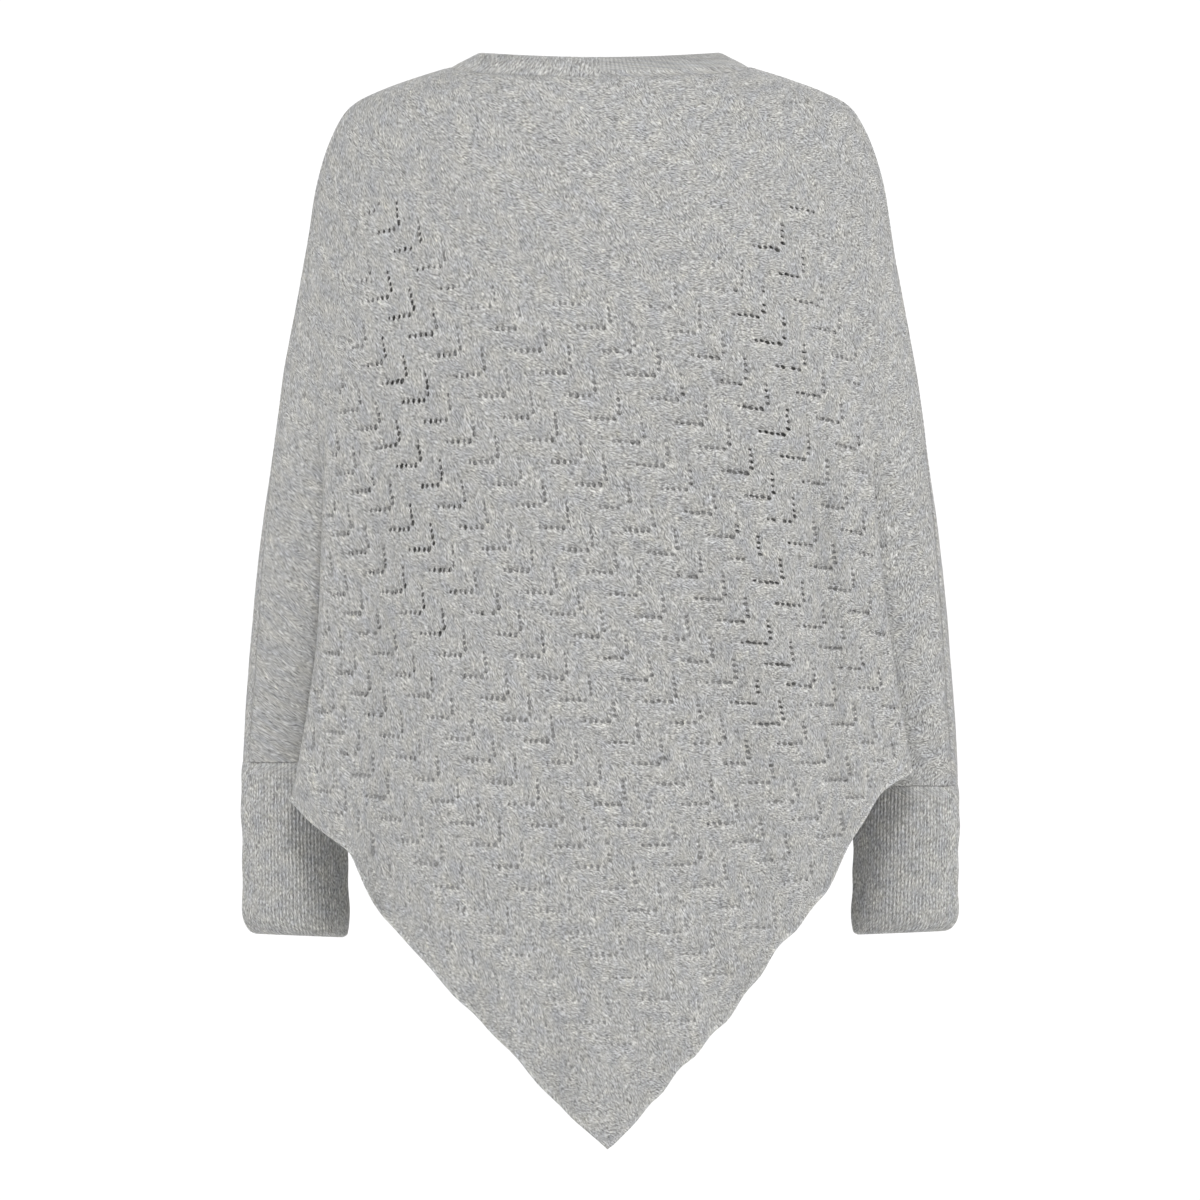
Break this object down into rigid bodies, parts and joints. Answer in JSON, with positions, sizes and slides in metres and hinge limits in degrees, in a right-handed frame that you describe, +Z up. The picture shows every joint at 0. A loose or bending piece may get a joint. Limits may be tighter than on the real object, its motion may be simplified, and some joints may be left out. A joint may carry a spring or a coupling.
{
  "type": "knitted poncho sweater",
  "caption": "Batwing poncho sweater in grey melange knit with pointed front and back, long ribbed cuffs and a ribbed neckband, in its worn shape.",
  "frame": {"origin": "middle of the shoulder line, where the wearer's shoulders carry the sweater", "axes": "+Z up, +Y towards the back, +X towards the wearer's left"},
  "size_m": [0.5239, 0.2424, 0.8],
  "materials": {
    "melange_knit": "brushed wool, plain knit with lace holes",
    "melange_rib": "brushed wool, ribbed"
  },
  "bodies": {
    "root": {"back_panel": "melange_knit", "front_panel": "melange_knit", "cuff_left": "melange_rib", "cuff_right": "melange_rib", "neckband": "melange_rib"}
  },
  "joints": []
}
